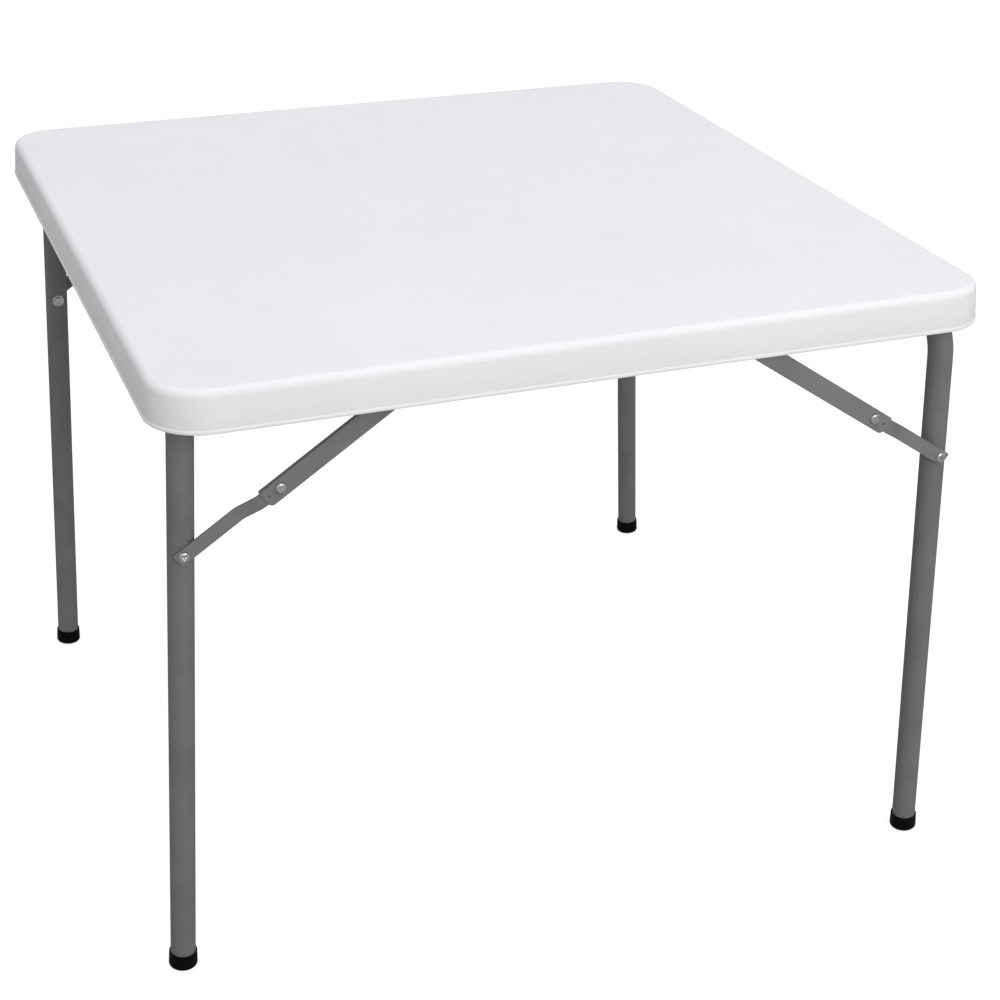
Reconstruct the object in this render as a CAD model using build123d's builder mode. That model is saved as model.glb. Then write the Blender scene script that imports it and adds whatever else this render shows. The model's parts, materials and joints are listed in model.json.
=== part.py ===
from build123d import *
import math
import os

# Square folding table: a hollow moulded top on two folding leg frames.
# X runs from the left leg frame to the right one, Y from front to back, Z up.
# The origin is on the floor, under the centre of the top. Sizes are in millimetres.

# moulded top
table_height = 745.0
top_width = 940.0
rim_depth = 44.5
rim_draft = 5.0
corner_radius = 60.0
edge_radius = 9.0
lip_radius = 1.8
rim_wall = 5.0
panel_depth = 13.0
top_skin = 3.0
under_skin = 2.5
void_margin = 10.0
post_count = 8
post_pitch = 100.0
post_radius = 16.5
dimple_mouth_radius = 13.0
dimple_floor_radius = 6.0
dimple_depth = 9.0

# leg frames
tube_radius = 14.3
tube_wall = 1.2
tube_bend_radius = 60.0
hinge_x = 425.0
hinge_z = 715.0
leg_splay = 3.0
left_leg_y = 382.0
right_leg_y = 430.0

# feet
foot_height = 20.0
foot_radius = 16.6
foot_mouth_radius = 15.9
foot_round = 4.0
foot_floor = 5.0
foot_mouth_round = 0.7
foot_fit = 0.05

# hinge brackets and their liners
bracket_y = 250.0
bracket_length = 36.0
bracket_sheet = 1.5
bracket_wing_reach = 34.0
bracket_fit = 0.1
bracket_screw_reach = 27.0
liner_fit = 0.06
liner_outer_radius = 16.9
liner_length = 30.0

# folding braces: a flat lower strip and an angle-section upper brace at each leg
leg_pivot_drop = 180.0
brace_slope = 34.0
strip_width = 16.0
strip_sheet = 2.0
strip_gap = 0.5
strip_corner_radius = 1.0
joggle_start = 72.0
joggle_end = 96.0
joggle_offset = 9.5
joggle_radius = 22.0
web_gap = 0.3
brace_sheet = 1.5
brace_bend_radius = 1.0
web_rise = 9.8
web_drop = 11.8
brace_tail = 21.0
brace_tip = 10.0
brace_tip_radius = 8.0
brace_tail_radius = 6.0
flange_inner_edge = 7.5
flange_clear_length = 13.0
tail_hole_from_knee = 15.0
tail_hole_radius = 1.3

# brace anchors under the top
anchor_sheet = 1.6
anchor_length = 56.0
anchor_depth = 9.0
anchor_ear_width = 16.0
anchor_screw_reach = 21.0

# fasteners
pivot_radius = 3.0
pivot_clearance = 0.06
head_radius = 6.3
head_height = 3.0
head_round = 2.7
tail_radius = 4.6
tail_height = 2.0
tail_round = 1.2
screw_radius = 2.0
screw_length = 8.0
screw_head_radius = 3.6
screw_head_height = 2.2
screw_head_round = 1.2
recess_width = 1.2
recess_length = 5.0
recess_depth = 1.1
bolt_overrun = 0.8
bolt_chamfer = 0.6
washer_radius = 7.6
washer_thickness = 1.2
nut_across_flats = 9.4
nut_height = 3.4

# places that follow from the sizes above
rim_bottom = table_height - rim_depth
underside = table_height - panel_depth
splay_sin = math.sin(math.radians(leg_splay))
splay_cos = math.cos(math.radians(leg_splay))
slope_sin = math.sin(math.radians(brace_slope))
slope_cos = math.cos(math.radians(brace_slope))

leg_pivot_x = hinge_x + leg_pivot_drop * splay_sin
leg_pivot_z = hinge_z - leg_pivot_drop * splay_cos
brace_span = (hinge_z - leg_pivot_z) / slope_sin
anchor_x = leg_pivot_x - brace_span * slope_cos
# the two braces lie flat in line when the leg is folded, which fixes where the knee is
folded_span = hinge_x - leg_pivot_drop - anchor_x
strip_length = (brace_span - folded_span) / 2
brace_length = (brace_span + folded_span) / 2
knee_x = leg_pivot_x - strip_length * slope_cos
knee_z = leg_pivot_z + strip_length * slope_sin

foot_flat_radius = foot_radius - foot_round
foot_drop = foot_flat_radius * splay_sin + foot_round * (1 - splay_cos)
leg_length = (hinge_z - foot_drop) / splay_cos

strip_low = strip_gap
strip_high = strip_gap + joggle_offset
web_inner = strip_high + strip_sheet + web_gap
web_outer = web_inner + brace_sheet
ear_inner = web_inner - web_gap - anchor_sheet
anchor_middle = ear_inner + anchor_sheet - anchor_depth / 2
anchor_screw_offset = anchor_middle - anchor_sheet / 2

SIDES = {"left": (-1, left_leg_y), "right": (1, right_leg_y)}
ENDS = {"front": -1, "back": 1}


def place(piece, side, end):
    """Move a piece made at the right back corner to the corner given by two signs."""
    with BuildPart() as placed:
        add(piece)
        if side < 0:
            mirror(about=Plane.YZ, mode=Mode.REPLACE)
        if end < 0:
            mirror(about=Plane.XZ, mode=Mode.REPLACE)
    return placed.part


def gather(pieces):
    """Keep several separate solids together in one piece."""
    return Compound(children=list(pieces))


def write(piece, name):
    """Label a piece and write it as parts/NAME.step."""
    piece.label = name
    export_step(piece, f"parts/{name}.step")


def leg_plane():
    """Plane of the right leg frame: local x is world Y, local y runs up the legs."""
    return Plane(origin=(hinge_x, 0, hinge_z), x_dir=(0, 1, 0), z_dir=(splay_cos, 0, splay_sin))


def brace_plane(x, y, z):
    """Plane facing +Y with its local x running up along the right back brace."""
    return Plane(origin=(x, y, z), x_dir=(-slope_cos, 0, slope_sin), z_dir=(0, 1, 0))


def across_plane(x, y, z):
    """Plane facing +Y with its local x along -X, for parts square to the table."""
    return Plane(origin=(x, y, z), x_dir=(-1, 0, 0), z_dir=(0, 1, 0))


def screw_places():
    """Centres, in plan, of all the screws that enter the underside of the top."""
    places = []
    for side in (-1, 1):
        for end in (-1, 1):
            for step in (-1, 1):
                places.append((side * hinge_x + step * bracket_screw_reach, end * bracket_y))
    for side, leg_y in SIDES.values():
        for end in (-1, 1):
            for step in (-1, 1):
                screw_y = leg_y + tube_radius + anchor_screw_offset
                places.append((side * anchor_x + step * anchor_screw_reach, end * screw_y))
    return places


def make_table_top():
    """Moulded top: a drafted rim round a hollow panel, tied by posts with dimples in them."""
    void_depth = panel_depth - top_skin - under_skin
    void_width = top_width - 2 * (rim_wall + void_margin)
    with BuildPart() as top:
        with BuildSketch(Plane.XY.offset(rim_bottom)):
            RectangleRounded(top_width, top_width, corner_radius)
        extrude(amount=rim_depth, taper=rim_draft)
        fillet(top.faces().sort_by(Axis.Z)[-1].edges(), radius=edge_radius)
        recess_width = top_width - 2 * rim_wall
        with BuildSketch(Plane.XY.offset(rim_bottom)):
            RectangleRounded(recess_width, recess_width, corner_radius - rim_wall)
        extrude(amount=rim_depth - panel_depth, taper=rim_draft, mode=Mode.SUBTRACT)
        fillet(top.faces().sort_by(Axis.Z)[0].edges(), radius=lip_radius)
        with BuildSketch(Plane.XY.offset(underside + under_skin)):
            RectangleRounded(void_width, void_width, corner_radius - rim_wall)
            with GridLocations(post_pitch, post_pitch, post_count, post_count):
                Circle(post_radius, mode=Mode.SUBTRACT)
        extrude(amount=void_depth, mode=Mode.SUBTRACT)
        dimple_middle = underside + dimple_depth / 2
        with Locations((0, 0, dimple_middle)):
            with GridLocations(post_pitch, post_pitch, post_count, post_count):
                Cone(dimple_mouth_radius, dimple_floor_radius, dimple_depth, mode=Mode.SUBTRACT)
        with BuildSketch(Plane.XY.offset(underside)):
            with Locations(*screw_places()):
                Circle(screw_radius + pivot_clearance)
        extrude(amount=screw_length, mode=Mode.SUBTRACT)
    return top.part


def make_leg_tube(leg_y):
    """One bent tube: a crossbar on the hinge axis and a leg at each end of it."""
    tube_end = leg_length - foot_floor - foot_fit
    with BuildPart() as tube:
        with BuildLine(leg_plane()) as centre_line:
            FilletPolyline(
                (-leg_y, -tube_end), (-leg_y, 0), (leg_y, 0), (leg_y, -tube_end),
                radius=tube_bend_radius,
            )
        with BuildSketch(Plane(origin=centre_line.line @ 0, z_dir=centre_line.line % 0)):
            Circle(tube_radius)
            Circle(tube_radius - tube_wall, mode=Mode.SUBTRACT)
        sweep()
        with BuildSketch(across_plane(leg_pivot_x, 0, leg_pivot_z)):
            Circle(pivot_radius + pivot_clearance)
        extrude(amount=leg_y + 2 * tube_radius, both=True, mode=Mode.SUBTRACT)
    return tube.part


def make_foot(leg_y):
    """Plastic cap with a rounded sole, pushed over the end of a leg."""
    sole = -leg_length
    with BuildPart() as foot:
        with BuildSketch(leg_plane()):
            with BuildLine():
                Polyline(
                    (leg_y, sole), (leg_y + foot_radius, sole),
                    (leg_y + foot_mouth_radius, sole + foot_height),
                    (leg_y + tube_radius + foot_fit, sole + foot_height),
                    (leg_y + tube_radius + foot_fit, sole + foot_floor),
                    (leg_y, sole + foot_floor), close=True,
                )
            make_face()
        leg_axis = Axis((leg_pivot_x, leg_y, leg_pivot_z), (splay_sin, 0, -splay_cos))
        revolve(axis=leg_axis)
        rings = foot.edges().filter_by(GeomType.CIRCLE)
        fillet(rings.sort_by(leg_axis)[-1], radius=foot_round)
        mouth_rings = foot.edges().filter_by(GeomType.CIRCLE).sort_by(leg_axis)[:2]
        fillet(mouth_rings.sort_by(SortBy.RADIUS)[-1], radius=foot_mouth_round)
    return foot.part


def make_liner(y):
    """Plastic liner on the crossbar, inside a hinge bracket."""
    with BuildPart() as liner:
        with BuildSketch(across_plane(hinge_x, y - liner_length / 2, hinge_z)):
            Circle(liner_outer_radius)
            Circle(tube_radius + liner_fit, mode=Mode.SUBTRACT)
        extrude(amount=liner_length)
    return liner.part


def make_bracket(y):
    """Steel saddle round the liner, with a screwed wing on each side."""
    inner_radius = liner_outer_radius + bracket_fit
    outer_radius = inner_radius + bracket_sheet
    rise = underside - hinge_z
    with BuildPart() as bracket:
        with BuildSketch(across_plane(hinge_x, y - bracket_length / 2, hinge_z)):
            Circle(outer_radius)
            with Locations((0, rise / 2)):
                Rectangle(2 * outer_radius, rise)
            with Locations((0, rise - bracket_sheet / 2)):
                Rectangle(2 * bracket_wing_reach, bracket_sheet)
            Circle(inner_radius, mode=Mode.SUBTRACT)
            with Locations((0, outer_radius)):
                Rectangle(2 * inner_radius, 2 * outer_radius, mode=Mode.SUBTRACT)
        extrude(amount=bracket_length)
        with BuildSketch(Plane.XY.offset(underside - 2 * bracket_sheet)):
            for step in (-1, 1):
                with Locations((hinge_x + step * bracket_screw_reach, y)):
                    Circle(screw_radius + pivot_clearance)
        extrude(amount=4 * bracket_sheet, mode=Mode.SUBTRACT)
    return bracket.part


def make_underside_screw(x, y, seat_z):
    """Pan-head screw driven up into the top, its head seated below seat_z."""
    with BuildPart() as screw:
        with BuildSketch(Plane.XY.offset(seat_z)):
            with Locations((x, y)):
                Circle(screw_radius)
        extrude(amount=screw_length)
        with BuildSketch(Plane.XY.offset(seat_z)):
            with Locations((x, y)):
                Circle(screw_head_radius)
        extrude(amount=-screw_head_height)
        fillet(screw.faces().sort_by(Axis.Z)[0].edges(), radius=screw_head_round)
        with BuildSketch(Plane.XY.offset(seat_z - screw_head_height)):
            with Locations((x, y)):
                Rectangle(recess_length, recess_width)
                Rectangle(recess_width, recess_length)
        extrude(amount=recess_depth, mode=Mode.SUBTRACT)
    return screw.part


def make_strip(tangent_y):
    """Flat lower brace, stepped outwards so that its upper end lies behind the upper brace."""
    half_width = strip_width / 2
    low = strip_low
    high = strip_high
    with BuildPart() as strip:
        edge_on = Plane(
            origin=(leg_pivot_x, tangent_y, leg_pivot_z),
            x_dir=(-slope_cos, 0, slope_sin), z_dir=(-slope_sin, 0, -slope_cos),
        )
        with BuildSketch(edge_on) as section:
            with BuildLine():
                Polyline(
                    (-half_width, low), (joggle_start, low), (joggle_end, high),
                    (strip_length + half_width, high),
                    (strip_length + half_width, high + strip_sheet),
                    (joggle_end, high + strip_sheet), (joggle_start, low + strip_sheet),
                    (-half_width, low + strip_sheet), close=True,
                )
            make_face()
            bends = section.vertices().filter_by_position(Axis.X, joggle_start, joggle_end)
            fillet(bends, radius=joggle_radius)
        extrude(amount=half_width, both=True)
        with BuildSketch(brace_plane(leg_pivot_x, tangent_y, leg_pivot_z)) as outline:
            with Locations(((strip_length - half_width) / 2, 0)):
                Rectangle(strip_length + half_width, strip_width)
            fillet(outline.vertices().sort_by(Axis.X)[:2], radius=strip_corner_radius)
            with Locations((strip_length, 0)):
                Circle(half_width)
        extrude(amount=web_outer, mode=Mode.INTERSECT)
        with BuildSketch(brace_plane(leg_pivot_x, tangent_y, leg_pivot_z)):
            with Locations((0, 0), (strip_length, 0)):
                Circle(pivot_radius + pivot_clearance)
        extrude(amount=web_outer, mode=Mode.SUBTRACT)
    return strip.part


def make_upper_brace(tangent_y):
    """Angle-section upper brace: an outer web with a flange turned in along its top."""
    full_length = brace_tail + brace_length + brace_tip
    flange_length = full_length - brace_tip - flange_clear_length
    face_on = brace_plane(knee_x, tangent_y, knee_z)
    with BuildPart() as brace:
        with BuildSketch(face_on.offset(web_inner)) as outline:
            with Locations((full_length / 2 - brace_tail, (web_rise - web_drop) / 2)):
                Rectangle(full_length, web_rise + web_drop)
            tip_corners = outline.vertices().sort_by(Axis.X)[-2:]
            fillet(tip_corners, radius=brace_tip_radius)
            tail_corner = outline.vertices().sort_by(Axis.X)[:2].sort_by(Axis.Y)[0]
            fillet(tail_corner, radius=brace_tail_radius)
            with Locations((0, 0), (brace_length, 0)):
                Circle(pivot_radius + pivot_clearance, mode=Mode.SUBTRACT)
            with Locations((-tail_hole_from_knee, 0)):
                Circle(tail_hole_radius, mode=Mode.SUBTRACT)
        extrude(amount=brace_sheet)
        with BuildSketch(face_on.offset(flange_inner_edge)):
            with Locations((flange_length / 2 - brace_tail, web_rise - brace_sheet / 2)):
                Rectangle(flange_length, brace_sheet)
        extrude(amount=web_inner - flange_inner_edge)
        along_brace = brace.edges().filter_by(Axis((0, 0, 0), (-slope_cos, 0, slope_sin)))
        bend_edge = along_brace.group_by(Axis.Y)[-1].sort_by(Axis.Z)[-1]
        fillet(bend_edge, radius=brace_bend_radius)
    return brace.part


def make_anchor(tangent_y):
    """Bracket screwed under the top, with an ear that carries the upper brace."""
    with BuildPart() as anchor:
        with BuildSketch(Plane.XY.offset(underside)):
            with Locations((anchor_x, tangent_y + anchor_middle)):
                RectangleRounded(anchor_length, anchor_depth, anchor_sheet)
        extrude(amount=-anchor_sheet)
        with BuildSketch(across_plane(anchor_x, tangent_y + ear_inner, hinge_z)):
            Circle(anchor_ear_width / 2)
            with Locations((0, (underside - hinge_z) / 2)):
                Rectangle(anchor_ear_width, underside - hinge_z)
            Circle(pivot_radius + pivot_clearance, mode=Mode.SUBTRACT)
        extrude(amount=anchor_sheet)
        screw_y = tangent_y + anchor_screw_offset
        with BuildSketch(Plane.XY.offset(underside - anchor_sheet)):
            for step in (-1, 1):
                with Locations((anchor_x + step * anchor_screw_reach, screw_y)):
                    Circle(screw_radius + pivot_clearance)
        extrude(amount=anchor_sheet, mode=Mode.SUBTRACT)
    return anchor.part


def make_rivet(x, z, inner_y, outer_y):
    """Dome-headed rivet along Y, headed at outer_y and spread at inner_y."""
    with BuildPart() as rivet:
        with BuildSketch(across_plane(x, inner_y, z)):
            Circle(pivot_radius)
        extrude(amount=outer_y - inner_y)
        with BuildSketch(across_plane(x, outer_y, z)):
            Circle(head_radius)
        extrude(amount=head_height)
        fillet(rivet.faces().sort_by(Axis.Y)[-1].edges(), radius=head_round)
        with BuildSketch(across_plane(x, inner_y, z)):
            Circle(tail_radius)
        extrude(amount=-tail_height)
        fillet(rivet.faces().sort_by(Axis.Y)[0].edges(), radius=tail_round)
    return rivet.part


def make_leg_screw_head(tangent_y):
    """Domed head of the leg screw with a cross recess, and the stub that fills the strip."""
    seat_y = tangent_y + strip_low + strip_sheet
    with BuildPart() as head:
        with BuildSketch(across_plane(leg_pivot_x, tangent_y + strip_low, leg_pivot_z)):
            Circle(pivot_radius)
        extrude(amount=strip_sheet)
        with BuildSketch(across_plane(leg_pivot_x, seat_y, leg_pivot_z)):
            Circle(head_radius)
        extrude(amount=head_height)
        fillet(head.faces().sort_by(Axis.Y)[-1].edges(), radius=head_round)
        with BuildSketch(across_plane(leg_pivot_x, seat_y + head_height, leg_pivot_z)):
            Rectangle(recess_length, recess_width)
            Rectangle(recess_width, recess_length)
        extrude(amount=-recess_depth, mode=Mode.SUBTRACT)
    return head.part


def make_leg_bolt(tangent_y):
    """Shank of the leg screw, from the strip through the leg to past its nut."""
    bolt_start = tangent_y - 2 * tube_radius - washer_thickness - nut_height - bolt_overrun
    with BuildPart() as bolt:
        with BuildSketch(across_plane(leg_pivot_x, bolt_start, leg_pivot_z)):
            Circle(pivot_radius)
        extrude(amount=tangent_y - bolt_start)
        chamfer(bolt.faces().sort_by(Axis.Y)[0].edges(), length=bolt_chamfer)
    return bolt.part


def make_leg_washer(tangent_y):
    """Washer on the inner side of a leg."""
    with BuildPart() as washer:
        seat_y = tangent_y - 2 * tube_radius
        with BuildSketch(across_plane(leg_pivot_x, seat_y, leg_pivot_z)):
            Circle(washer_radius)
            Circle(pivot_radius + pivot_clearance, mode=Mode.SUBTRACT)
        extrude(amount=-washer_thickness)
    return washer.part


def make_leg_nut(tangent_y):
    """Hexagon nut on the inner side of a leg."""
    with BuildPart() as nut:
        seat_y = tangent_y - 2 * tube_radius - washer_thickness
        with BuildSketch(across_plane(leg_pivot_x, seat_y, leg_pivot_z)):
            RegularPolygon(nut_across_flats / 2, 6, major_radius=False)
            Circle(pivot_radius + pivot_clearance, mode=Mode.SUBTRACT)
        extrude(amount=-nut_height)
    return nut.part


os.makedirs("parts", exist_ok=True)
write(make_table_top(), "table_top")

bracket_screws = []
anchor_screws = []
anchor_rivets = []
for side_name, (side, leg_y) in SIDES.items():
    tangent_y = leg_y + tube_radius
    write(place(make_leg_tube(leg_y), side, 1), f"{side_name}_leg_tube")
    fastener_sets = {"leg_bolts": make_leg_bolt, "leg_washers": make_leg_washer, "leg_nuts": make_leg_nut}
    for set_name, make in fastener_sets.items():
        pair = [place(make(tangent_y), side, end) for end in ENDS.values()]
        write(gather(pair), f"{side_name}_{set_name}")
    screw_y = tangent_y + anchor_screw_offset
    for end_name, end in ENDS.items():
        corner = f"{side_name}_{end_name}"
        write(place(make_foot(leg_y), side, end), f"{corner}_foot")
        write(place(make_liner(bracket_y), side, end), f"{corner}_hinge_liner")
        write(place(make_bracket(bracket_y), side, end), f"{corner}_hinge_bracket")
        write(place(make_anchor(tangent_y), side, end), f"{corner}_brace_anchor")
        write(place(make_upper_brace(tangent_y), side, end), f"{corner}_upper_brace")
        write(place(make_strip(tangent_y), side, end), f"{corner}_lower_brace")
        write(place(make_leg_screw_head(tangent_y), side, end), f"{corner}_leg_screw_head")
        knee_rivet = make_rivet(knee_x, knee_z, tangent_y + strip_high, tangent_y + web_outer)
        write(place(knee_rivet, side, end), f"{corner}_knee_rivet")
        anchor_rivet = make_rivet(anchor_x, hinge_z, tangent_y + ear_inner, tangent_y + web_outer)
        anchor_rivets.append(place(anchor_rivet, side, end))
        for step in (-1, 1):
            bracket_screw = make_underside_screw(
                hinge_x + step * bracket_screw_reach, bracket_y, underside - bracket_sheet
            )
            bracket_screws.append(place(bracket_screw, side, end))
            anchor_screw = make_underside_screw(
                anchor_x + step * anchor_screw_reach, screw_y, underside - anchor_sheet
            )
            anchor_screws.append(place(anchor_screw, side, end))

write(gather(bracket_screws), "bracket_screws")
write(gather(anchor_screws), "anchor_screws")
write(gather(anchor_rivets), "anchor_rivets")
print("leg pivot", leg_pivot_x, leg_pivot_z, "knee", knee_x, knee_z, "anchor", anchor_x, hinge_z)
print("strip", strip_length, "upper brace", brace_length, "leg", leg_length)
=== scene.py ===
import json
import math

import bmesh
import bpy
import numpy as np
from mathutils import Matrix, Vector


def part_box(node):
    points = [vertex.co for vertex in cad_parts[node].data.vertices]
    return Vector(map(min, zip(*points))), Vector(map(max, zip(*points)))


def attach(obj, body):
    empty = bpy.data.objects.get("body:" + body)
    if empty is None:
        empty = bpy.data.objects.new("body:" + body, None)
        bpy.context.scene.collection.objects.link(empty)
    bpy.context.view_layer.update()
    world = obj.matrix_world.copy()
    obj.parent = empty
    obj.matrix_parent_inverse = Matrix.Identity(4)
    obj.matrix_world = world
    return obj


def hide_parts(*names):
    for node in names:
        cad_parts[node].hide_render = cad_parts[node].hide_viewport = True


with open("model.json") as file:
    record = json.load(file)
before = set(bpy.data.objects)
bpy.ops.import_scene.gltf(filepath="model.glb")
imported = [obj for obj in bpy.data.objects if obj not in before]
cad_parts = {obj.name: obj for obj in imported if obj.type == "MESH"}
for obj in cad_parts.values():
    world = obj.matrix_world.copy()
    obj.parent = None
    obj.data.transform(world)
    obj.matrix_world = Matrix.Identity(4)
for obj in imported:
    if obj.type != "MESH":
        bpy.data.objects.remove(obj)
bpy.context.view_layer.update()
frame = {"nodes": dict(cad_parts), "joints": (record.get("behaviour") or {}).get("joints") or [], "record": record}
print("frame loaded:", len(frame["nodes"]), "nodes")


def newMaterial(name, colour, metallic, roughness, specular=0.5):
    # a Principled material with its plain values set on the shader itself
    material = bpy.data.materials.new(name)
    material.use_nodes = True
    shader = material.node_tree.nodes["Principled BSDF"]
    shader.inputs["Base Color"].default_value = (*colour, 1)
    shader.inputs["Metallic"].default_value = metallic
    shader.inputs["Roughness"].default_value = roughness
    shader.inputs["Specular IOR Level"].default_value = specular
    return material, shader


def addNode(material, kind, **values):
    # adds a node, sets its properties and its input sockets by name
    node = material.node_tree.nodes.new(kind)
    for key, value in values.items():
        socketName = key.replace("_", " ")
        if hasattr(node, key) and key not in node.inputs:
            setattr(node, key, value)
        else:
            node.inputs[socketName].default_value = value
    return node


def join(material, outSocket, inSocket):
    # links two sockets
    material.node_tree.links.new(outSocket, inSocket)


def objectCoordinates(material, scale=(1, 1, 1)):
    # object coordinates in metres, stretched by scale
    coordinates = addNode(material, "ShaderNodeTexCoord")
    mapping = addNode(material, "ShaderNodeMapping", Scale=scale)
    join(material, coordinates.outputs["Object"], mapping.inputs["Vector"])
    return mapping.outputs["Vector"]


def noise(material, vector, scale, detail, roughness=0.55):
    # cloudy noise from 0 to 1
    node = addNode(material, "ShaderNodeTexNoise", Scale=scale, Detail=detail, Roughness=roughness)
    join(material, vector, node.inputs["Vector"])
    return node.outputs["Fac"]


def cells(material, vector, scale, smoothness):
    # distance to the nearest of many scattered points, rounded between cells
    node = addNode(material, "ShaderNodeTexVoronoi", feature="SMOOTH_F1")
    node.inputs["Scale"].default_value = scale
    node.inputs["Smoothness"].default_value = smoothness
    join(material, vector, node.inputs["Vector"])
    return node.outputs["Distance"]


def spread(material, value, fromLow, fromHigh, toLow, toHigh):
    # maps a value from one range to another, clamped
    node = addNode(material, "ShaderNodeMapRange")
    node.inputs["From Min"].default_value = fromLow
    node.inputs["From Max"].default_value = fromHigh
    node.inputs["To Min"].default_value = toLow
    node.inputs["To Max"].default_value = toHigh
    join(material, value, node.inputs["Value"])
    return node.outputs["Result"]


def blendColours(material, factor, first, second):
    # from one plain colour to another as the factor goes from 0 to 1
    node = addNode(material, "ShaderNodeMix", data_type="RGBA")
    node.inputs[6].default_value = (*first, 1)
    node.inputs[7].default_value = (*second, 1)
    join(material, factor, node.inputs["Factor"])
    return node.outputs[2]


def multiplyColours(material, first, second):
    # product of two colour sockets
    node = addNode(material, "ShaderNodeMix", data_type="RGBA", blend_type="MULTIPLY")
    node.inputs["Factor"].default_value = 1.0
    join(material, first, node.inputs[6])
    join(material, second, node.inputs[7])
    return node.outputs[2]


def bump(material, height, strength, distance, normal=None):
    # turns a height into a normal, on top of another bump where one is given
    node = addNode(material, "ShaderNodeBump", Strength=strength, Distance=distance)
    join(material, height, node.inputs["Height"])
    if normal is not None:
        join(material, normal, node.inputs["Normal"])
    return node.outputs["Normal"]


def makeMouldedPlastic():
    # white polyethylene: fine pebble grain, faint clouding, slightly uneven gloss, soft rub marks
    look = {
        "colour": (0.828, 0.832, 0.850), "cloudColour": (0.806, 0.811, 0.831),
        "rubColour": (0.975, 0.975, 0.976),
        "plainRoughness": 0.5, "roughness": (0.46, 0.60), "specular": 0.12,
        "glowDepth": (0.012, 0.011, 0.010), "glowScale": 0.25, "glowShare": 0.06,
        "cloudSize": 4.5, "rubSize": 1.3, "rubStretch": (14, 90, 60), "glossSize": 38,
        "waveSize": 7, "waveStrength": 0.2, "waveDepth": 0.0010,
        "grainSize": 780, "grainSoftness": 0.6, "grainStrength": 0.45, "grainDepth": 0.00014,
    }
    colour, specular = look["colour"], look["specular"]
    material, shader = newMaterial("mouldedPlastic", colour, 0, look["plainRoughness"], specular)
    shader.inputs["Subsurface Weight"].default_value = look["glowShare"]
    shader.inputs["Subsurface Radius"].default_value = look["glowDepth"]
    shader.inputs["Subsurface Scale"].default_value = look["glowScale"]
    vector = objectCoordinates(material)
    clouds = spread(material, noise(material, vector, look["cloudSize"], 4), 0.35, 0.7, 0, 1)
    tint = blendColours(material, clouds, colour, look["cloudColour"])
    rubVector = objectCoordinates(material, look["rubStretch"])
    rubs = spread(material, noise(material, rubVector, look["rubSize"], 4, 0.6), 0.52, 0.85, 0, 1)
    rubbed = blendColours(material, rubs, (1, 1, 1), look["rubColour"])
    join(material, multiplyColours(material, tint, rubbed), shader.inputs["Base Color"])
    gloss = noise(material, vector, look["glossSize"], 3)
    join(material, spread(material, gloss, 0.3, 0.7, *look["roughness"]), shader.inputs["Roughness"])
    swell = noise(material, vector, look["waveSize"], 2)
    waves = bump(material, swell, look["waveStrength"], look["waveDepth"])
    pebbles = cells(material, vector, look["grainSize"], look["grainSoftness"])
    grain = bump(material, pebbles, look["grainStrength"], look["grainDepth"], waves)
    join(material, grain, shader.inputs["Normal"])
    return material


def makePowderCoat(name, colour, darkColour, speckSize, roughness):
    # powder-coated steel: fine orange peel, darker specks, slightly uneven tone
    look = {
        "specular": 0.12, "broadSize": 22, "broadDark": (0.9, 0.9, 0.9), "broadLight": (1.06, 1.06, 1.05),
        "peelShare": 0.55, "peelStrength": 0.45, "peelDepth": 0.00012, "smoother": 0.07, "rougher": 0.09,
        "fineShare": 2.4, "fineStrength": 0.2, "fineDepth": 0.000036,
    }
    material, shader = newMaterial(name, colour, 0, roughness, look["specular"])
    vector = objectCoordinates(material)
    specks = spread(material, noise(material, vector, speckSize, 4, 0.6), 0.38, 0.66, 0, 1)
    body = blendColours(material, specks, darkColour, colour)
    broad = spread(material, noise(material, vector, look["broadSize"], 3), 0.3, 0.7, 0, 1)
    broadTint = blendColours(material, broad, look["broadDark"], look["broadLight"])
    join(material, multiplyColours(material, body, broadTint), shader.inputs["Base Color"])
    peel = noise(material, vector, speckSize * look["peelShare"], 2, 0.5)
    uneven = spread(material, peel, 0.3, 0.7, roughness - look["smoother"], roughness + look["rougher"])
    join(material, uneven, shader.inputs["Roughness"])
    coarse = bump(material, peel, look["peelStrength"], look["peelDepth"])
    pits = noise(material, vector, speckSize * look["fineShare"], 2)
    fine = bump(material, pits, look["fineStrength"], look["fineDepth"], coarse)
    join(material, fine, shader.inputs["Normal"])
    return material


def makePlatedSteel():
    # bright plated steel: faint brushing and small dull patches
    look = {
        "colour": (0.60, 0.60, 0.595), "dullShare": 0.82, "dullSize": 420,
        "roughness": 0.14, "dullRoughness": 0.28,
        "brushStretch": (1, 1, 14), "brushSize": 900, "brushStrength": 0.12, "brushDepth": 0.00008,
    }
    material, shader = newMaterial("brightPlate", look["colour"], 1, look["roughness"])
    vector = objectCoordinates(material)
    dull = spread(material, noise(material, vector, look["dullSize"], 3), 0.35, 0.7, 0, 1)
    tarnish = tuple(look["dullShare"] * channel for channel in look["colour"])
    join(material, blendColours(material, dull, look["colour"], tarnish), shader.inputs["Base Color"])
    uneven = spread(material, dull, 0, 1, look["roughness"], look["dullRoughness"])
    join(material, uneven, shader.inputs["Roughness"])
    lines = noise(material, objectCoordinates(material, look["brushStretch"]), look["brushSize"], 2)
    join(material, bump(material, lines, look["brushStrength"], look["brushDepth"]), shader.inputs["Normal"])
    return material


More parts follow.
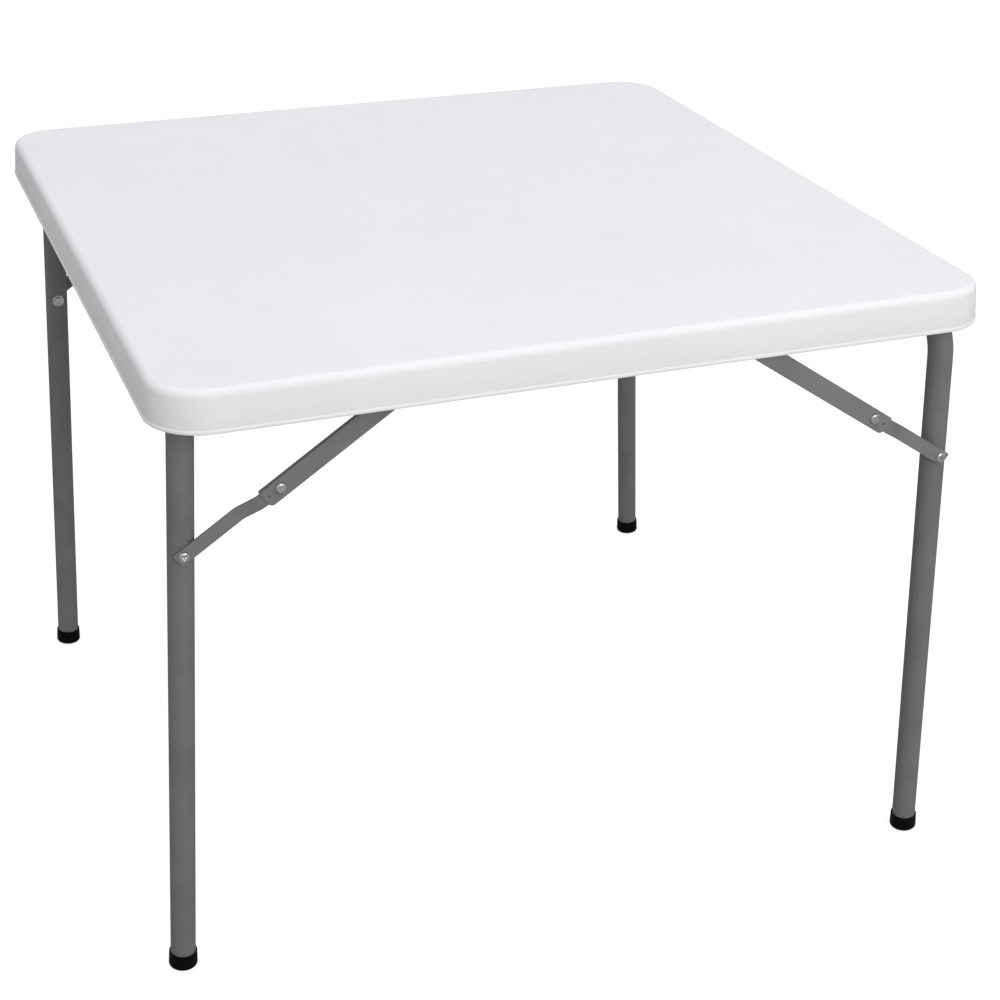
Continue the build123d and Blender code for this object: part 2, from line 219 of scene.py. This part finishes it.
def makeZincPlate():
    # dull zinc plate with a faint crystal pattern
    look = {
        "colour": (0.56, 0.57, 0.57), "lightColour": (0.60, 0.61, 0.61), "darkColour": (0.47, 0.48, 0.49),
        "plainRoughness": 0.38, "roughness": (0.3, 0.48), "crystalSize": 260, "glossSize": 130,
        "grainSize": 700, "grainStrength": 0.15, "grainDepth": 0.0001,
    }
    material, shader = newMaterial("zincPlate", look["colour"], 1, look["plainRoughness"])
    vector = objectCoordinates(material)
    crystals = addNode(material, "ShaderNodeTexVoronoi", Scale=look["crystalSize"])
    join(material, vector, crystals.inputs["Vector"])
    shade = spread(material, crystals.outputs["Distance"], 0, 0.7, 0, 1)
    tint = blendColours(material, shade, look["lightColour"], look["darkColour"])
    join(material, tint, shader.inputs["Base Color"])
    gloss = noise(material, vector, look["glossSize"], 3)
    join(material, spread(material, gloss, 0.3, 0.7, *look["roughness"]), shader.inputs["Roughness"])
    grain = noise(material, vector, look["grainSize"], 2)
    join(material, bump(material, grain, look["grainStrength"], look["grainDepth"]), shader.inputs["Normal"])
    return material


def makeBlackPlastic(name, colour, roughness, grainSize):
    # black moulded plastic: fine spark grain, dusty low spots
    look = {
        "specular": 0.06, "dustSize": 85, "dustColour": 0.004, "dustRoughness": 0.2,
        "grainStrength": 0.3, "grainDepth": 0.00012,
    }
    material, shader = newMaterial(name, colour, 0, roughness, look["specular"])
    vector = objectCoordinates(material)
    dust = spread(material, noise(material, vector, look["dustSize"], 5), 0.5, 0.8, 0, 1)
    dusty = tuple(channel + look["dustColour"] for channel in colour)
    join(material, blendColours(material, dust, colour, dusty), shader.inputs["Base Color"])
    uneven = spread(material, dust, 0, 1, roughness, roughness + look["dustRoughness"])
    join(material, uneven, shader.inputs["Roughness"])
    grain = noise(material, vector, grainSize, 2)
    join(material, bump(material, grain, look["grainStrength"], look["grainDepth"]), shader.inputs["Normal"])
    return material


looks = {
    "moulded_top": makeMouldedPlastic(),
    "coated_tube": makePowderCoat("tubeCoat", (0.194, 0.194, 0.193), (0.162, 0.162, 0.162), 900, 0.52),
    "coated_brace": makePowderCoat("braceCoat", (0.222, 0.222, 0.220), (0.188, 0.188, 0.187), 1000, 0.50),
    "plated_bracket": makeZincPlate(),
    "plated_fastener": makePlatedSteel(),
    "foot_plastic": makeBlackPlastic("footPlastic", (0.003, 0.003, 0.0032), 0.45, 1400),
    "liner_plastic": makeBlackPlastic("linerPlastic", (0.014, 0.014, 0.014), 0.5, 1800),
}
slotOf = {row["node"]: row["material_slot"] for row in frame["record"]["subparts"]}
for nodeName, nodeObject in frame["nodes"].items():
    nodeObject.data.materials.clear()
    nodeObject.data.materials.append(looks[slotOf[nodeName]])
print("materials ready:", len(looks))


def squareLoop(half, radius, corner, count):
    # closed outline of a rounded square, seen from above: on each side a point slides from corner to
    # corner, straight for the share 1 - corner of its way, then round the corner arc for the rest
    p = np.linspace(-1, 1, count, endpoint=False)
    a = np.abs(p)
    turn = np.clip((a - (1 - corner)) / corner, 0, 1) * math.pi / 4
    straight = np.clip(a / (1 - corner), 0, 1) * (half - radius)
    along = np.sign(p) * (straight + radius * np.sin(turn))
    out = half - radius + radius * np.cos(turn)
    x = np.concatenate((along, out, -along, -out))
    y = np.concatenate((-out, along, out, -along))
    return np.stack((x, y), axis=1)


def evenSquare(half, count):
    # outline of a plain square in even steps, in the same order as squareLoop
    along = np.linspace(-half, half, count, endpoint=False)
    out = np.full(count, half)
    x = np.concatenate((along, out, -along, -out))
    y = np.concatenate((-out, along, out, -along))
    return np.stack((x, y), axis=1)


def ringFaces(rings, count):
    # quads between closed rings of count points each
    index = np.arange(rings * count).reshape(rings, count)
    after = np.roll(index, -1, axis=1)
    return np.stack((index[:-1], after[:-1], after[1:], index[1:]), axis=-1).reshape(-1, 4)


def fanFaces(first, count, pole):
    # triangles from one ring to a pole
    ring = first + np.arange(count)
    return np.stack((ring, np.roll(ring, -1), np.full(count, pole)), axis=1)


def buildPiece(name, points, faces, body, slotName, sharpAngle):
    # mesh from whole arrays, welded, faces turned outwards, riding on its body
    mesh = bpy.data.meshes.new(name)
    mesh.from_pydata(points.tolist(), [], faces)
    work = bmesh.new()
    work.from_mesh(mesh)
    bmesh.ops.remove_doubles(work, verts=work.verts, dist=2e-6)
    bmesh.ops.recalc_face_normals(work, faces=work.faces)
    work.to_mesh(mesh)
    work.free()
    mesh.shade_smooth()
    mesh.set_sharp_from_angle(angle=math.radians(sharpAngle))
    mesh.materials.append(looks[slotName])
    piece = bpy.data.objects.new(name, mesh)
    bpy.context.collection.objects.link(piece)
    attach(piece, body)
    return piece


def arc(centreInset, centreHeight, radius, fromAngle, toAngle, steps):
    # points of an arc in the rim's section, angles in degrees from outwards, turning upwards
    angle = np.radians(np.linspace(fromAngle, toAngle, steps))
    return np.stack((centreInset - radius * np.cos(angle), centreHeight + radius * np.sin(angle)), axis=1)


def makeTableTop():
    # blow-moulded top: soft upper edge, drafted skirt with a small lip, recess with dimples below
    top = {
        "cornerRadius": 0.060, "rimDepth": 0.0445, "draft": 5.0, "edgeRadius": 0.009,
        "lipRadius": 0.0018, "lipHeight": 0.0048, "lipStep": 0.0007, "lipInset": 0.0003,
        "rimWall": 0.005, "panelDepth": 0.013, "coveRadius": 0.005,
        "skirtFoot": 0.0012, "skirtHigh": 0.020, "sag": 0.00018, "sagEdge": 0.40, "sagFade": 0.05,
        "cornerShare": 0.2, "rings": 46, "perSide": 96, "edgeSteps": 12, "lipSteps": 6, "coveSteps": 7,
        "pitch": 0.100, "cellsPerSide": 8, "dimpleMouth": 0.013, "dimpleFloor": 0.006,
        "dimpleDepth": 0.009, "mouthRound": 0.003, "floorRound": 0.0022, "wallSteps": 15, "sharpAngle": 55,
    }
    low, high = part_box("table_top")
    half = (high[0] - low[0]) / 2
    topZ = high[2]
    rimZ = topZ - top["rimDepth"]
    underZ = topZ - top["panelDepth"]
    lean = math.tan(math.radians(top["draft"]))
    corner = top["cornerRadius"]
    # upper edge: an arc tangent to the flat top and to the leaning skirt
    edge = top["edgeRadius"]
    edgeInset = (top["rimDepth"] - edge) * lean + edge / math.cos(math.radians(top["draft"])) + top["lipStep"]
    upperEdge = arc(edgeInset, topZ - edge, edge, 90, top["draft"], top["edgeSteps"])
    # skirt: straight down to a small step, then the lip with its two round edges
    lip = top["lipRadius"]
    stepZ = rimZ + top["lipHeight"]
    skirtHeights = (stepZ + top["skirtHigh"], stepZ + top["skirtFoot"])
    skirtInset = np.array([[top["lipStep"] + (z - rimZ) * lean, z] for z in skirtHeights])
    lipOutside = top["lipInset"] + lip
    lipTop = arc(lipOutside, stepZ - lip, lip, 70, 0, top["lipSteps"] - 1)
    lipBottom = arc(lipOutside, rimZ + lip, lip, 0, -90, top["lipSteps"])
    lipInner = arc(top["rimWall"] - lip, rimZ + lip, -lip, 90, 0, top["lipSteps"])
    # inner wall leans in as it rises and meets the underside in a cove
    cove = top["coveRadius"]
    wallRise = underZ - rimZ - cove
    coveInset = top["rimWall"] + wallRise * lean + cove
    coveArc = arc(coveInset, underZ - cove, cove, 0, 90, top["coveSteps"])
    section = np.concatenate((upperEdge, skirtInset, lipTop, lipBottom, lipInner, coveArc))
    perSide = top["perSide"]
    count = 4 * perSide
    loops = [squareLoop(half - inset, corner - inset, top["cornerShare"], perSide) for inset, z in section]
    heights = [np.full(count, z) for inset, z in section]
    # top sheet: the edge loop shrunk towards the centre, sinking a little over each post below it
    edgeLoop = loops[0]
    shrink = np.linspace(0, 1, top["rings"], endpoint=False)[1:]
    sheet = [edgeLoop * share for share in shrink]
    wave = 2 * math.pi / top["pitch"]

    def sunk(loop):
        # one shallow hollow per post, fading out towards the edge
        fade = np.clip((top["sagEdge"] - np.max(np.abs(loop), axis=1)) / top["sagFade"], 0, 1)
        hollow = (0.5 - 0.5 * np.cos(wave * loop[:, 0])) * (0.5 - 0.5 * np.cos(wave * loop[:, 1]))
        return topZ - top["sag"] * fade * hollow

    # underside: from the cove's inner loop to the square that the dimpled cells fill
    cellHalf = top["pitch"] * top["cellsPerSide"] / 2
    square = evenSquare(cellHalf, perSide)
    shares = np.linspace(0, 1, 6)[1:]
    flat = [loops[-1] * (1 - share) + square * share for share in shares]
    allLoops = np.array(sheet + loops + flat)
    allHeights = np.array([sunk(loop) for loop in sheet] + heights + [np.full(count, underZ) for _ in flat])
    rings = len(allLoops)
    points = np.concatenate((allLoops, allHeights[:, :, None]), axis=2).reshape(-1, 3)
    pole = np.array([[0, 0, topZ]])
    faces = ringFaces(rings, count).tolist() + fanFaces(0, count, len(points)).tolist()
    points = np.concatenate((points, pole))
    # one cell: square outline, flat, round mouth, sloping wall, rounded floor
    cellCount = perSide // top["cellsPerSide"]
    outline = evenSquare(top["pitch"] / 2, cellCount)
    direction = outline / np.linalg.norm(outline, axis=1)[:, None]
    mouth = top["dimpleMouth"] + top["mouthRound"]
    blends = np.linspace(0, 1, 4)[:-1]
    flatRings = [outline * (1 - share) + direction * mouth * share for share in blends]
    # wall profile: straight cone, smoothed at both ends by rounding the slope
    reach = np.linspace(0, 1, top["wallSteps"])
    radius = mouth + (top["dimpleFloor"] - top["floorRound"] - mouth) * reach
    slopeStart = top["mouthRound"] / (mouth - top["dimpleFloor"] + top["floorRound"])
    ease = np.clip((reach - slopeStart * 0.5) / (1 - slopeStart * 0.8), 0, 1)
    rise = top["dimpleDepth"] * (ease * 0.55 + 0.45 * ease * ease * (3 - 2 * ease))
    wallRings = [direction * r for r in radius]
    cellLoops = np.array(flatRings + wallRings)
    cellZ = np.concatenate((np.zeros(len(flatRings)), rise))
    cellRings = len(cellLoops)
    size = 4 * cellCount
    cellHeights = np.repeat(cellZ[:, None], size, axis=1)[:, :, None]
    cell = np.concatenate((cellLoops, cellHeights), axis=2).reshape(-1, 3)
    cell = np.concatenate((cell, [[0, 0, top["dimpleDepth"]]]))
    cellFaces = ringFaces(cellRings, size)
    cellFan = fanFaces((cellRings - 1) * size, size, len(cell) - 1)
    middles = (np.arange(top["cellsPerSide"]) - (top["cellsPerSide"] - 1) / 2) * top["pitch"]
    middleX, middleY = (grid.ravel() for grid in np.meshgrid(middles, middles))
    shift = np.stack((middleX, middleY, np.full(len(middleX), underZ)), axis=1)
    first = len(points) + np.arange(len(shift)) * len(cell)
    points = np.concatenate((points, (cell[None] + shift[:, None]).reshape(-1, 3)))
    faces += (cellFaces[None] + first[:, None, None]).reshape(-1, 4).tolist()
    faces += (cellFan[None] + first[:, None, None]).reshape(-1, 3).tolist()
    piece = buildPiece("mouldedTop", points, faces, "top", "moulded_top", top["sharpAngle"])
    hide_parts("table_top")


def makePressedRings():
    # a small ring pressed proud of each upper brace's web, between the knee rivet and the tail
    ring = {"radius": 0.0023, "bead": 0.0009, "proud": 0.0009, "fromKnee": 0.0075, "below": 0.0056,
            "around": 40, "across": 12, "sharpAngle": 40}
    joints = {joint["name"]: joint for joint in frame["joints"]}
    for side in ("left", "right"):
        for end in ("front", "back"):
            corner = f"{side}_{end}"
            knee = np.array(joints[f"{corner}_knee_fold"]["pos_m"])
            anchor = np.array(joints[f"{corner}_upper_brace_swing"]["pos_m"])
            up = (anchor - knee) * (1, 0, 1)
            up /= np.linalg.norm(up)
            outward = np.array([0, -1.0 if end == "front" else 1.0, 0])
            across = np.cross(up, outward)
            across *= -np.sign(across[2])
            low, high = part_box(f"{corner}_upper_brace")
            faceY = low[1] if end == "front" else high[1]
            middle = knee - up * ring["fromKnee"] + across * ring["below"]
            middle[1] = faceY - outward[1] * (ring["bead"] - ring["proud"])
            # torus: a circle of the bead's radius carried round the ring
            u = np.linspace(0, 2 * math.pi, ring["around"], endpoint=False)
            v = np.linspace(0, 2 * math.pi, ring["across"], endpoint=False)
            spin, tube = np.meshgrid(u, v, indexing="ij")
            reach = ring["radius"] + ring["bead"] * np.cos(tube)
            points = (middle + reach[..., None] * np.cos(spin)[..., None] * up
                      + reach[..., None] * np.sin(spin)[..., None] * across
                      + (ring["bead"] * np.sin(tube))[..., None] * outward)
            index = np.arange(ring["around"] * ring["across"]).reshape(ring["around"], ring["across"])
            right = np.roll(index, -1, axis=0)
            quads = np.stack((index, right, np.roll(right, -1, axis=1), np.roll(index, -1, axis=1)), axis=-1)
            buildPiece(f"{corner}_pressed_ring", points.reshape(-1, 3), quads.reshape(-1, 4).tolist(),
                       f"{corner}_upper_brace_body", "coated_brace", ring["sharpAngle"])


makeTableTop()
makePressedRings()
print("new pieces ready")


def makeFloor():
    # a pale floor that is flat under the table and curves up far behind it
    size = {"half": 9.0, "back": 7.0, "radius": 3.0, "steps": 25, "colour": (0.42, 0.42, 0.42), "glow": 0.78}
    along = np.linspace(-size["half"], size["half"], 3)
    sweep = np.linspace(0, math.pi / 2, size["steps"])
    # profile: flat run, quarter circle, straight wall
    wall = size["back"] + size["radius"]
    depth = np.concatenate(([-size["half"]], size["back"] + size["radius"] * np.sin(sweep), [wall]))
    height = np.concatenate(([0.0], size["radius"] * (1 - np.cos(sweep)), [size["half"]]))
    x, y = np.meshgrid(along, depth)
    z = np.repeat(height[:, None], len(along), axis=1)
    mesh = bpy.data.meshes.new("floor")
    rows, columns = x.shape
    index = np.arange(rows * columns).reshape(rows, columns)
    faces = np.stack((index[:-1, :-1], index[:-1, 1:], index[1:, 1:], index[1:, :-1]), axis=-1).reshape(-1, 4)
    points = np.stack((x, y, z), axis=-1).reshape(-1, 3)
    mesh.from_pydata(points.tolist(), [], faces.tolist())
    mesh.shade_smooth()
    floor = bpy.data.objects.new("floor", mesh)
    bpy.context.collection.objects.link(floor)
    material, shader = newMaterial("floorPaint", size["colour"], 0, 0.9, 0.1)
    shader.inputs["Emission Color"].default_value = (1, 1, 1, 1)
    seen = addNode(material, "ShaderNodeLightPath").outputs["Is Camera Ray"]
    join(material, spread(material, seen, 0, 1, 0, size["glow"]), shader.inputs["Emission Strength"])
    # the floor is clear when looked at from below, so the underside of the table can be seen
    clear = addNode(material, "ShaderNodeBsdfTransparent")
    sides = addNode(material, "ShaderNodeMixShader")
    behind = addNode(material, "ShaderNodeNewGeometry").outputs["Backfacing"]
    join(material, behind, sides.inputs["Fac"])
    join(material, shader.outputs["BSDF"], sides.inputs[1])
    join(material, clear.outputs["BSDF"], sides.inputs[2])
    join(material, sides.outputs["Shader"], material.node_tree.nodes["Material Output"].inputs["Surface"])
    mesh.materials.append(material)


def makeLight(name, place, target, size, power, colour):
    # a soft rectangular light that looks from its place at its target
    data = bpy.data.lights.new(name, "AREA")
    data.shape = "RECTANGLE"
    data.size, data.size_y = size
    data.energy = power
    data.color = colour
    light = bpy.data.objects.new(name, data)
    light.location = place
    light.rotation_euler = (Vector(target) - Vector(place)).to_track_quat("-Z", "Y").to_euler()
    bpy.context.collection.objects.link(light)


def makeCamera():
    # stands in front and to the left, looking down on the table
    view = {
        "place": (-0.7701, -2.1362, 1.4896), "yaw": 21.414, "pitch": 26.879, "roll": -1.073,
        "lens": 69.83, "sensor": 36.0,
    }
    data = bpy.data.cameras.new("camera")
    data.sensor_width = view["sensor"]
    data.lens = view["lens"]
    camera = bpy.data.objects.new("camera", data)
    turn = Matrix.Rotation(math.radians(-view["yaw"]), 4, "Z")
    tilt = Matrix.Rotation(math.radians(90 - view["pitch"]), 4, "X")
    roll = Matrix.Rotation(math.radians(-view["roll"]), 4, "Z")
    camera.matrix_world = Matrix.Translation(view["place"]) @ turn @ tilt @ roll
    bpy.context.collection.objects.link(camera)
    bpy.context.scene.camera = camera


def makeWorld():
    # even pale light from all sides
    sky = {"colour": (1, 1, 1, 1), "strength": 0.66}
    world = bpy.data.worlds.new("studio")
    world.use_nodes = True
    background = world.node_tree.nodes["Background"]
    background.inputs["Color"].default_value = sky["colour"]
    background.inputs["Strength"].default_value = sky["strength"]
    bpy.context.scene.world = world
    bpy.context.scene.view_settings.view_transform = "Standard"


makeFloor()
makeLight("keyLight", (0.5, -3.7, 2.1), (0, 0, 0.5), (2.2, 1.8), 55, (1.0, 0.995, 0.98))
makeLight("topLight", (0.2, 0.4, 3.6), (0, 0, 0.7), (3.0, 3.0), 35, (0.965, 0.975, 1.0))
makeWorld()
makeCamera()
print("stage ready")
